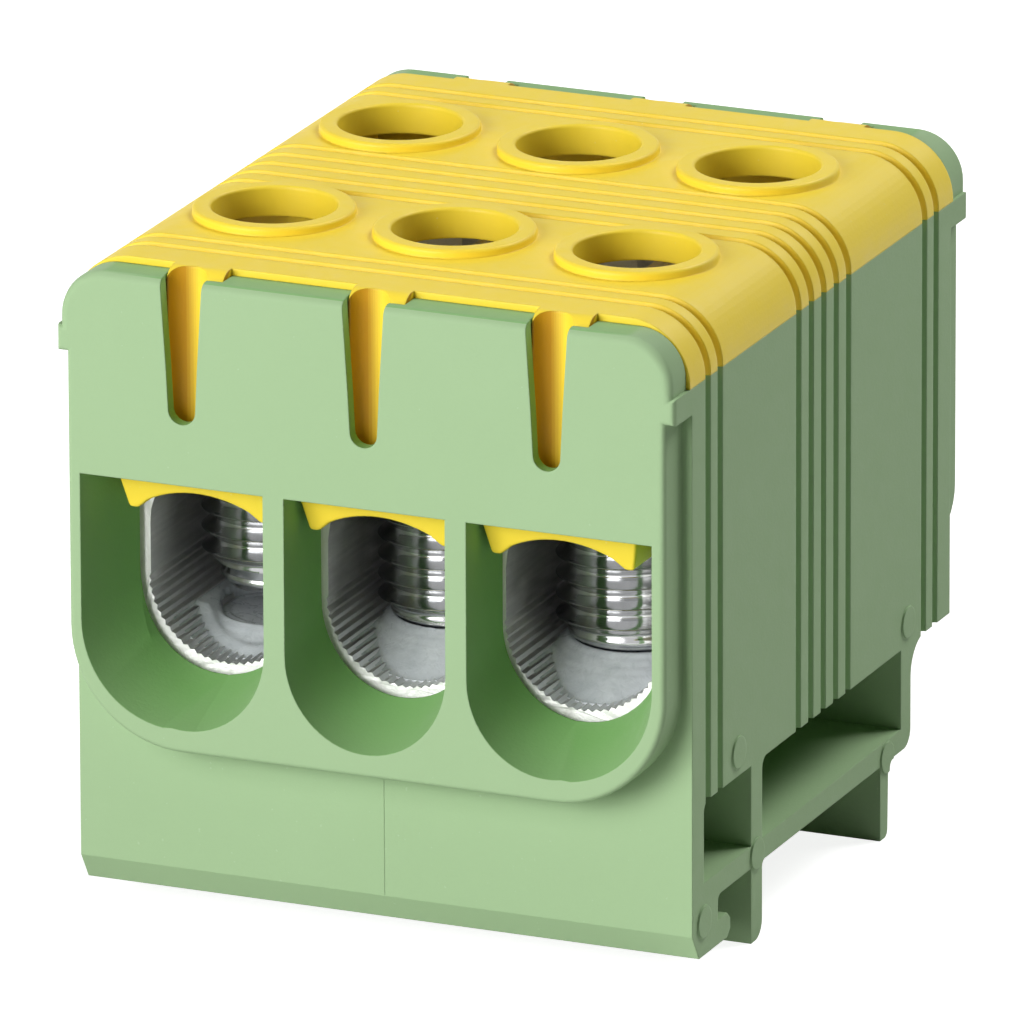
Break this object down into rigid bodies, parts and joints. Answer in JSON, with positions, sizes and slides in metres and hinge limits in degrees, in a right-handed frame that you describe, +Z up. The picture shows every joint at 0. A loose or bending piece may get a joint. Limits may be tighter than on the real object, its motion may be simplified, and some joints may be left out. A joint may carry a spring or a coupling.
{
  "type": "power distribution block",
  "caption": "Rail-mounted power distribution block: a green housing and yellow screw cover around a metal bar, with framed wire entries and clamp screws at both ends.",
  "frame": {"origin": "under the middle of the body, level with the bottom of the legs", "axes": "+Z up through the cover, -Y out of the front wire entries, +X to the right seen from the front"},
  "size_m": [0.0442, 0.0512, 0.0464],
  "materials": {
    "green_plastic": "fine-grained moulded plastic, light green",
    "yellow_plastic": "fine-grained moulded plastic, warm yellow",
    "tinned_metal": "tin-plated aluminium, dull inside the bores",
    "screw_steel": "plated steel with machined threads"
  },
  "bodies": {
    "block": {"housing": "green_plastic", "cover": "yellow_plastic", "terminal_block": "tinned_metal"},
    "screw_front_left": {"screw_front_left": "screw_steel"},
    "screw_front_middle": {"screw_front_middle": "screw_steel"},
    "screw_front_right": {"screw_front_right": "screw_steel"},
    "screw_rear_left": {"screw_rear_left": "screw_steel"},
    "screw_rear_middle": {"screw_rear_middle": "screw_steel"},
    "screw_rear_right": {"screw_rear_right": "screw_steel"}
  },
  "joints": [
    {"name": "screw_front_left_travel", "type": "slide", "parent": "block", "child": "screw_front_left", "axis": [0, 0, 1], "range_m": [-0.002, 0.0062]},
    {"name": "screw_front_middle_travel", "type": "slide", "parent": "block", "child": "screw_front_middle", "axis": [0, 0, 1], "range_m": [0, 0.0082]},
    {"name": "screw_front_right_travel", "type": "slide", "parent": "block", "child": "screw_front_right", "axis": [0, 0, 1], "range_m": [0, 0.0082]},
    {"name": "screw_rear_left_travel", "type": "slide", "parent": "block", "child": "screw_rear_left", "axis": [0, 0, 1], "range_m": [0, 0.0082]},
    {"name": "screw_rear_middle_travel", "type": "slide", "parent": "block", "child": "screw_rear_middle", "axis": [0, 0, 1], "range_m": [0, 0.0082]},
    {"name": "screw_rear_right_travel", "type": "slide", "parent": "block", "child": "screw_rear_right", "axis": [0, 0, 1], "range_m": [0, 0.0082]}
  ]
}
